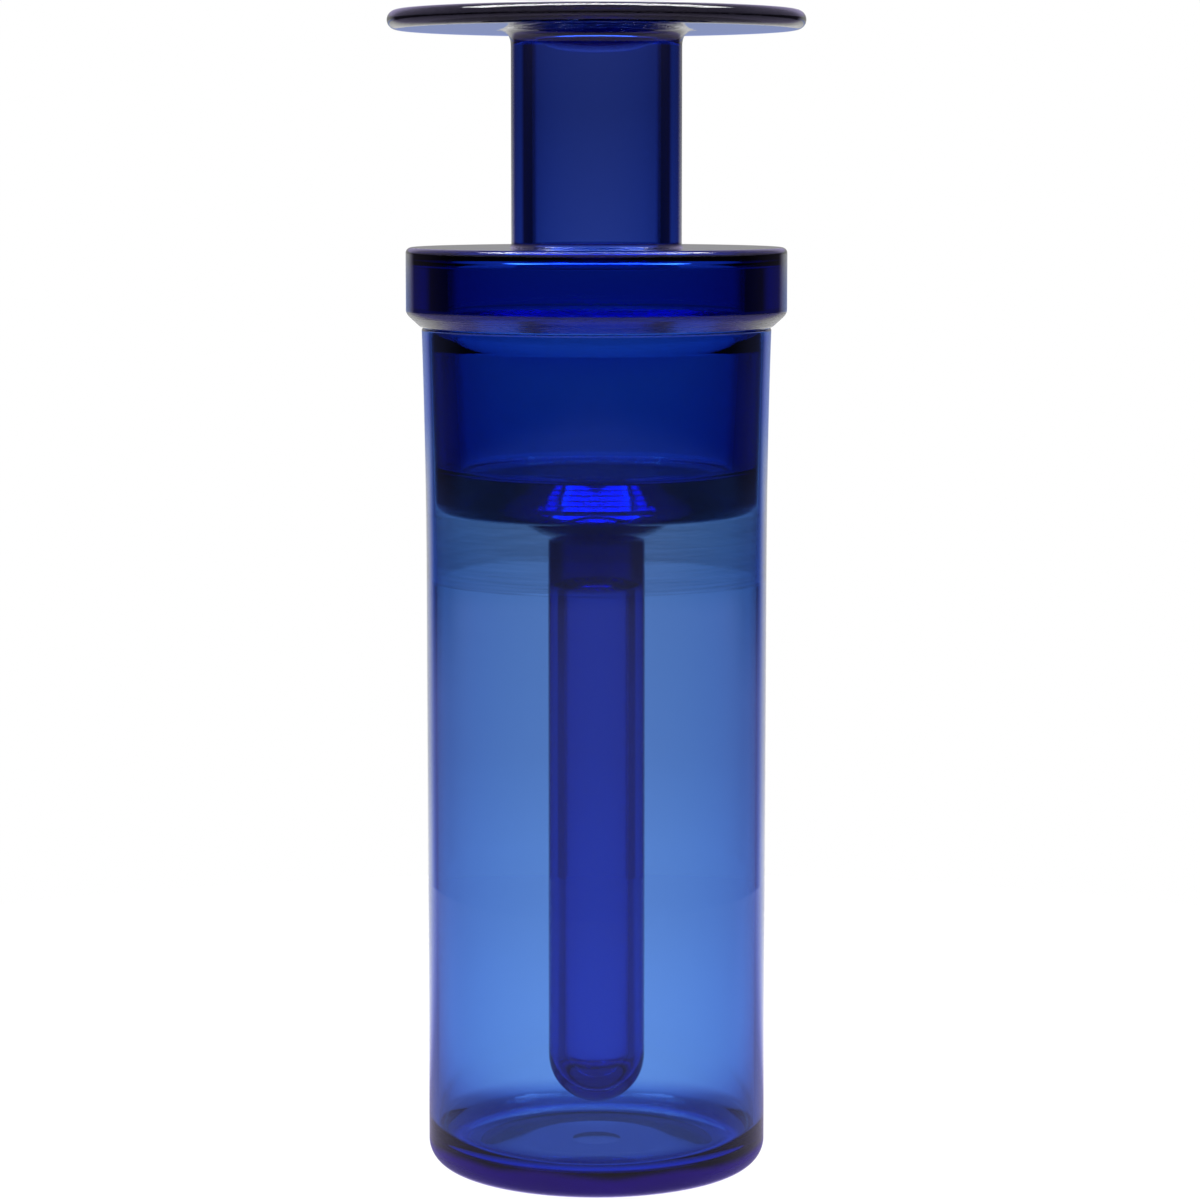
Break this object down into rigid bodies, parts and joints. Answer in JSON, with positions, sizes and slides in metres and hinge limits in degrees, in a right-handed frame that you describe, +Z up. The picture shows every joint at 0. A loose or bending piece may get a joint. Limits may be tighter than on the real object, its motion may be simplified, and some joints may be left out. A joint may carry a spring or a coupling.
{
  "type": "glass bottle with ground stopper",
  "caption": "Tall cylindrical glass bottle with a ground-in hollow stopper, which has a thick collar, a tubular neck, a round disc to lift it by and a long finger that hangs inside.",
  "frame": {"origin": "centre of the standing ring under the vessel, on the surface that the bottle stands on", "axes": "+Z up along the bottle's axis of rotation, X and Y anywhere across it"},
  "size_m": [0.085, 0.085, 0.2382],
  "materials": {
    "vessel_glass": "clear cobalt blue blown glass, polished, ground matt inside the mouth",
    "stopper_glass": "clear cobalt blue blown glass, polished, ground matt on the plug's cone"
  },
  "bodies": {
    "bottle": {"vessel": "vessel_glass"},
    "stopper": {"stopper_plug": "stopper_glass", "stopper_neck": "stopper_glass", "disc_handle": "stopper_glass", "finger_root": "stopper_glass", "dip_finger": "stopper_glass"}
  },
  "joints": [
    {"name": "stopper_lift", "type": "slide", "parent": "bottle", "child": "stopper", "axis": [0, 0, 1], "range_m": [0, 0.175]}
  ]
}
